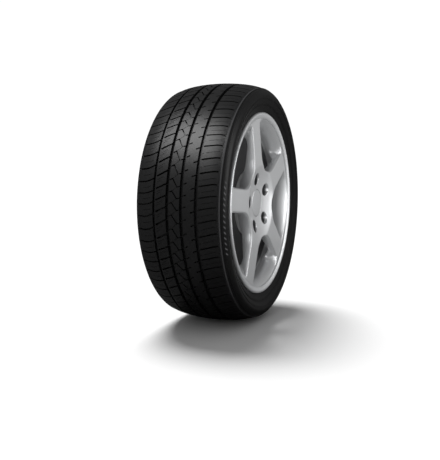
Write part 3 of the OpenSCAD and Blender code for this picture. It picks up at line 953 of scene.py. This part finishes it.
class StudioSizes(bpy.types.PropertyGroup):
    floor_size: length_prop("Floor size", "Side of the square floor", 24.0)
    sky: level_prop("Sky", "Brightness of the white room round the wheel", 1.05)
    fill: level_prop("Fill", "Brightness of the even light that the room casts", 0.3)
    mirrored_sky: level_prop("Mirrored sky", "Brightness of that room in the wheel's gloss", 0.12)
    azimuth: angle_prop("Azimuth", "Direction of the view round the wheel", -68.15)
    elevation: angle_prop("Elevation", "Height of the view over the axle", 4.07)
    distance: length_prop("Distance", "Distance of the camera", 1.9033)
    lens: FloatProperty(name="Lens", description="Focal length in millimetres", default=59.8)
    across: length_prop("Across", "How far the view is moved to the side", -0.01473)
    up: length_prop("Up", "How far the view is moved up", -0.06957)


class Shader(Graph):
    """A material in the making. It starts with its Principled shader and object coordinates."""

    def __init__(self, name, **constants):
        self.material = bpy.data.materials.new(name)
        self.material.use_nodes = True
        super().__init__(self.material.node_tree)
        self.surface = self.tree.nodes["Principled BSDF"]
        for key, value in constants.items():
            self.surface.inputs[key.replace("_", " ")].default_value = value
        self.place = self.node("ShaderNodeTexCoord")[3]

    def noise(self, scale, detail=2.0, roughness=0.5):
        return self.node("ShaderNodeTexNoise", Vector=self.place, Scale=scale, Detail=detail,
                         Roughness=roughness)[0]

    def bump(self, height, strength, distance):
        return self.node("ShaderNodeBump", Strength=strength, Distance=distance, Height=height)[0]

    def feed(self, **links):
        for key, value in links.items():
            self.tree.links.new(value.socket, self.surface.inputs[key.replace("_", " ")])
        return self.material


def coloured(colour, factor=1.0):
    return tuple(min(c * factor, 1) for c in colour) + (1.0,)


# Radii in metres at which the tread's shade, the light edge line and the band of ticks lie, and where the
# outer side begins across the wheel. The ticks stand in arcs, one of them about TICK_ARC_AT degrees.
TREAD_FROM = (0.2745, 0.2795)
EDGE_LINE = (0.2763, 0.2775)
TICK_BAND = (0.2675, 0.272)
OUTER_SIDE = (-0.04, -0.03)
TICK_ARCS = 3
TICK_ARC_AT = 184
TICK_SLANT = 110


def rubber_finish(colours, ticks):
    shader = Shader("tyre_rubber", Specular_IOR_Level=0.5)
    x, y, z = shader.node("ShaderNodeSeparateXYZ", Vector=shader.place)
    radius = (x * x + z * z) ** 0.5
    tread = radius.between(*TREAD_FROM)
    cloud = shader.noise(24, 3, 0.6)
    grain = shader.noise(900, 2, 0.6)
    dust = shader.noise(160, 4, 0.65).between(0.35, 0.8)
    colour = shader.blend(tread, coloured(colours.rubber, 0.9), coloured(colours.rubber, 1.1))
    colour = shader.blend(dust * 0.3, colour, coloured(colours.rubber, 2.2))
    angle = shader.math("ARCTAN2", z, x)
    turn = angle * (ticks / math.tau) + radius * TICK_SLANT
    outer_side = 1 - y.between(*OUTER_SIDE)
    arcs = shader.math("COSINE", (angle - math.radians(TICK_ARC_AT)) * TICK_ARCS).between(0.58, 0.66)
    band = radius.inside(*TICK_BAND, 0.5 * MM) * outer_side
    tick_and_painted_highlight = shader.math("PINGPONG", turn, 0.5).between(0.3, 0.38) * band * arcs
    edge_line = radius.inside(*EDGE_LINE, 0.3 * MM) * outer_side
    # Painted highlight: the slanted ticks are coloured many times lighter than the rubber, as light catching
    # their raised edges would show them; the same mask also raises them in the bump.
    colour = shader.blend(tick_and_painted_highlight, colour, coloured(colours.rubber, 16))
    colour = shader.blend(edge_line, colour, coloured(colours.rubber, 8))
    rough = 0.35 - tread * 0.02 + cloud * 0.06 + grain * 0.05
    bump = shader.bump(grain * 0.5 + dust * 0.5 + tick_and_painted_highlight * 2, 0.4, 0.0003)
    return shader.feed(Base_Color=colour, Roughness=rough, Normal=bump)


# Where the barrel's darker side and the painted shade inside the bolt sockets begin, across the wheel, in
# metres
DEEP_BARREL_FROM = (-0.0085, -0.006)
SOCKET_SHADE_FROM = (-0.038, -0.034)


def silver_finish(colours):
    shader = Shader("silver_paint", Coat_IOR=1.5, Coat_Roughness=0.08)
    x, y, z = shader.node("ShaderNodeSeparateXYZ", Vector=shader.place)
    # Deeper into the barrel from here, the colour turns darker and the finish less metallic, rougher and with
    # less coat.
    deep_barrel = y.between(*DEEP_BARREL_FROM)
    angle = shader.math("ARCTAN2", z, x) - math.radians(FIRST_SPOKE)
    turn = shader.math("WRAP", angle, math.radians(HALF_STEP), -math.radians(HALF_STEP))
    radius = (x * x + z * z) ** 0.5
    along = radius * shader.math("COSINE", turn) - BOLT_R * MM
    aside = radius * shader.math("SINE", turn)
    from_bolt = (along * along + aside * aside) ** 0.5
    socket_r = SOCKET_R * MM
    # Painted shade: below the face, the inside of each bolt socket is coloured far darker than the paint,
    # standing in for the shade in these deep holes.
    socket = (1 - from_bolt.between(socket_r + 0.1 * MM, socket_r + 0.3 * MM)) * y.between(*SOCKET_SHADE_FROM)
    flake = shader.noise(2600, 1, 0.5)
    cloud = shader.noise(30, 2, 0.5)
    colour = shader.blend(flake, coloured(colours.silver, 0.94), coloured(colours.silver, 1.06))
    colour = shader.blend(socket, colour, coloured(colours.silver, 0.25))
    colour = shader.blend(deep_barrel, colour, coloured(colours.barrel))
    metal = 0.65 - deep_barrel * 0.45
    rough = 0.36 + flake * 0.06 + cloud * 0.03 + deep_barrel * 0.2
    bump = shader.bump(flake, 0.05, 0.0002)
    coat = 0.5 - deep_barrel * 0.4
    return shader.feed(Base_Color=colour, Metallic=metal, Roughness=rough, Coat_Weight=coat, Normal=bump)


def floor_finish(pale):
    """Plain pale floor, which the wheel's gloss mirrors as a dark one."""
    shader = Shader("studio_floor", Roughness=1.0, Specular_IOR_Level=0.0)
    tone = shader.blend(shader.noise(3), coloured(pale, 0.99), coloured(pale))
    mirrored_ray = shader.node("ShaderNodeLightPath")[3]
    return shader.feed(Base_Color=shader.blend(mirrored_ray, tone, coloured(pale, 0.08)))


def grained(name, scale, detail, dark, light, rough, rough_swing, relief=0.0, **constants):
    """A finish whose colour, gloss and relief all follow one fine grain."""
    shader = Shader(name, **constants)
    grain = shader.noise(scale, detail, 0.5)
    links = {"Base_Color": shader.blend(grain, dark, light), "Roughness": rough + grain * rough_swing}
    if relief:
        links["Normal"] = shader.bump(grain, relief, 0.2 * MM)
    return shader.feed(**links)


def grey(level):
    """A neutral colour."""
    return (level, level, level, 1.0)


def fitting_finishes(colours):
    """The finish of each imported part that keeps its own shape."""
    silver = (coloured(colours.silver, 0.92), coloured(colours.silver, 1.04))
    brass = grained("turned_brass", 300, 2, coloured(colours.brass, 0.8), coloured(colours.brass, 1.1),
                    0.26, 0.12, Metallic=1.0)
    return {
        "centre_cap": grained("silver_cap", 2600, 1, *silver, 0.34, 0.06, 0.05,
                              Coat_IOR=1.5, Coat_Roughness=0.08, Metallic=0.65),
        "cap_ring": grained("spring_wire", 700, 2, grey(0.35), grey(0.5), 0.3, 0.15, Metallic=1.0),
        "valve_body": grained("valve_rubber", 1500, 2, grey(0.014), grey(0.03), 0.5, 0.12, 0.2),
        "valve_tube": brass,
        "valve_core": brass,
        "valve_cap": grained("cap_plastic", 1800, 2, grey(0.016), grey(0.028), 0.42, 0.1, 0.15)}


class WHEEL_OT_tyre(bpy.types.Operator):
    """Builds the tyre from one pitch of its tread, repeated round the axle."""

    bl_idname = "wheel.tyre"
    bl_label = "Tyre"

    def execute(self, context):
        sizes = context.scene.tread_sizes
        walls = context.scene.side_wall_sizes
        rubber = rubber_finish(context.scene.finish_colours, walls.ticks)
        points, faces = pitch_tile(sizes, walls)
        scaled = [(t, o * MM, r * MM) for t, o, r in points]
        tile = bpy.data.objects.new("pitch_tile", new_mesh("pitch_tile", scaled, faces))
        context.scene.collection.objects.link(tile)
        starts, lengths = pitch_layout(sizes)
        carrier = bpy.data.objects.new("pitches", new_mesh("pitches", [(0, 0, 0)] * len(starts), []))
        context.scene.collection.objects.link(carrier)
        for name, values in zip(PITCH_VALUES, (starts, lengths)):
            attribute = carrier.data.attributes.new(name, "FLOAT", "POINT")
            attribute.data.foreach_set("value", values.astype(np.float32))
        mesh = applied(carrier, wrap_tree(), {
            "Pitch tile": tile, "Centre plane": CENTRE_PLANE * MM, "Ground": GROUND * MM,
            "Weld distance": WELD * MM, "Rubber": rubber})
        for helper in (tile, carrier):
            bpy.data.objects.remove(helper)
        for name in PITCH_VALUES:
            if name in mesh.attributes:
                mesh.attributes.remove(mesh.attributes[name])
        mesh.name = "tyre_rubber"
        add_piece("tyre_rubber", mesh, rubber, ["tyre"])
        return {"FINISHED"}


class WHEEL_OT_alloy(bpy.types.Operator):
    """Finishes the alloy wheel."""

    bl_idname = "wheel.alloy"
    bl_label = "Alloy wheel"

    def execute(self, context):
        mesh = wheel_mesh(context.scene.wheel_sizes)
        silver = silver_finish(context.scene.finish_colours)
        add_piece("alloy_wheel", mesh, silver, ["wheel"], 40)
        return {"FINISHED"}


class WHEEL_OT_fittings(bpy.types.Operator):
    """Finishes the centre cap and the valve."""

    bl_idname = "wheel.fittings"
    bl_label = "Cap and valve"

    def execute(self, context):
        for name, finish in fitting_finishes(context.scene.finish_colours).items():
            part = frame["nodes"][name]
            for slot in part.material_slots:
                slot.material = finish
            part.data.shade_smooth()
            part.data.set_sharp_from_angle(angle=math.radians(30))
        return {"FINISHED"}


# Soft boxes: name, direction from the wheel, distance, width and height in metres, radiance.
# The lamp over the floor: direction, distance, angle of its shadow's softness in degrees, strength.
FLOOR_LAMP = ((0.36, 0.38, 1.0), 3, 32, 3.4)
TYRE_LAMPS = (("tread_key", (-0.5, 0.3, 0.9), 2.2, (1.7, 1.1), 6.5),
              ("side_key", (0.0, -1.0, 0.35), 2.2, (0.9, 1.6), 2.0))
WHEEL_LAMPS = (("wheel_front", (-0.1, -1.0, 0.05), 2.2, (2.8, 0.9), 1.5),
               ("bevel_shine", (-0.03, -1.0, 0.0), 2.2, (0.5, 1.2), 7.5),
               ("wheel_shine", (0.59, -0.81, 0.0), 2.2, (0.5, 1.4), 5.2),
               ("wheel_left", (-1.0, -0.03, 0.05), 2.2, (0.85, 0.85), 36.0),
               ("wheel_right", (0.93, -0.37, 0.25), 1.3, (1.2, 1.2), 0.22))


def lamp_at(light, direction, distance, receivers):
    """Hangs a lamp that faces the wheel, stays out of the picture and lights only the given pieces."""
    lamp = bpy.data.objects.new(light.name, light)
    way = Vector(direction).normalized()
    lamp.location = way * distance
    lamp.rotation_euler = way.to_track_quat("Z", "Y").to_euler()
    lamp.visible_camera = False
    bpy.context.scene.collection.objects.link(lamp)
    group = bpy.data.collections.new(light.name + "_receivers")
    for piece in receivers:
        group.objects.link(piece)
    lamp.light_linking.receiver_collection = group


def soft_box(name, direction, distance, size, radiance, receivers):
    """A soft light panel."""
    light = bpy.data.lights.new(name, "AREA")
    light.shape = "RECTANGLE"
    light.size, light.size_y = size
    light.energy = radiance * math.pi * size[0] * size[1]
    lamp_at(light, direction, distance, receivers)


def floor_light(floor):
    """Even light that whitens the floor and lays the wheel's soft shadow on it."""
    direction, distance, softness, strength = FLOOR_LAMP
    light = bpy.data.lights.new("floor_light", "SUN")
    light.angle = math.radians(softness)
    light.energy = strength
    lamp_at(light, direction, distance, [floor])


class WHEEL_OT_studio(bpy.types.Operator):
    """Sets the floor, the lights and the camera."""

    bl_idname = "wheel.studio"
    bl_label = "Studio"

    def execute(self, context):
        scene = context.scene
        view = scene.studio_sizes
        half, level = view.floor_size / 2, -GROUND * MM
        floor_mesh = new_mesh("floor", [(-half, -half, level), (half, -half, level), (half, half, level),
                                        (-half, half, level)], [(0, 1, 2, 3)])
        floor = bpy.data.objects.new("floor", floor_mesh)
        scene.collection.objects.link(floor)
        floor_mesh.materials.append(floor_finish(scene.finish_colours.floor))

        world = bpy.data.worlds.new("studio")
        world.use_nodes = True
        sky = world.node_tree.nodes["Background"]
        sky.inputs["Color"].default_value = (1, 1, 1, 1)
        graph = Graph(world.node_tree)
        rays = graph.node("ShaderNodeLightPath")
        scattered, mirrored = rays[2], rays[3]
        strength = view.sky - scattered * (view.sky - view.fill) - mirrored * (view.sky - view.mirrored_sky)
        graph.tree.links.new(strength.socket, sky.inputs["Strength"])
        scene.world = world
        tyre = [scene.objects["tyre_rubber"]]
        alloy = [scene.objects["alloy_wheel"], *(part for name, part in frame["nodes"].items()
                                                 if name not in ("tyre", "wheel"))]
        floor_light(floor)
        for lamp in TYRE_LAMPS:
            soft_box(*lamp, tyre)
        for lamp in WHEEL_LAMPS:
            soft_box(*lamp, alloy)

        turn, tip = view.azimuth, view.elevation
        back = Vector((math.sin(turn) * math.cos(tip), -math.cos(turn) * math.cos(tip), math.sin(tip)))
        right = Vector((math.cos(turn), math.sin(turn), 0))
        middle = Vector((0, CENTRE_PLANE * MM, 0))
        target = middle + right * view.across + back.cross(right) * view.up
        lens = bpy.data.cameras.new("camera")
        lens.lens = view.lens
        lens.sensor_fit = "AUTO"
        camera = bpy.data.objects.new("camera", lens)
        camera.location = middle + back * view.distance
        camera.rotation_euler = (target - camera.location).to_track_quat("-Z", "Y").to_euler()
        scene.collection.objects.link(camera)
        scene.camera = camera
        scene.view_settings.view_transform = "Standard"
        return {"FINISHED"}


class WHEEL_PT_panel(bpy.types.Panel):
    """Lists the pieces of the wheel and their sizes."""

    bl_label = "Wheel"
    bl_space_type = "VIEW_3D"
    bl_region_type = "UI"
    bl_category = "Wheel"

    def draw(self, context):
        for operator in OPERATORS:
            self.layout.operator(operator.bl_idname)
        for name in GROUPS:
            group = getattr(context.scene, name)
            box = self.layout.box()
            for item in group.bl_rna.properties:
                if item.identifier not in ("rna_type", "name"):
                    box.prop(group, item.identifier)


OPERATORS = (WHEEL_OT_tyre, WHEEL_OT_alloy, WHEEL_OT_fittings, WHEEL_OT_studio)
GROUPS = {"tread_sizes": TreadSizes, "side_wall_sizes": SideWallSizes, "wheel_sizes": WheelSizes,
          "finish_colours": FinishColours, "studio_sizes": StudioSizes}


def register():
    for cls in (*GROUPS.values(), *OPERATORS, WHEEL_PT_panel):
        bpy.utils.register_class(cls)
    for name, group in GROUPS.items():
        setattr(bpy.types.Scene, name, PointerProperty(type=group))


def unregister():
    for name in GROUPS:
        delattr(bpy.types.Scene, name)
    for cls in (WHEEL_PT_panel, *reversed(OPERATORS), *reversed(list(GROUPS.values()))):
        bpy.utils.unregister_class(cls)


def main():
    register()
    bpy.ops.wheel.tyre()
    bpy.ops.wheel.alloy()
    bpy.ops.wheel.fittings()
    bpy.ops.wheel.studio()


if __name__ == "__main__":
    main()
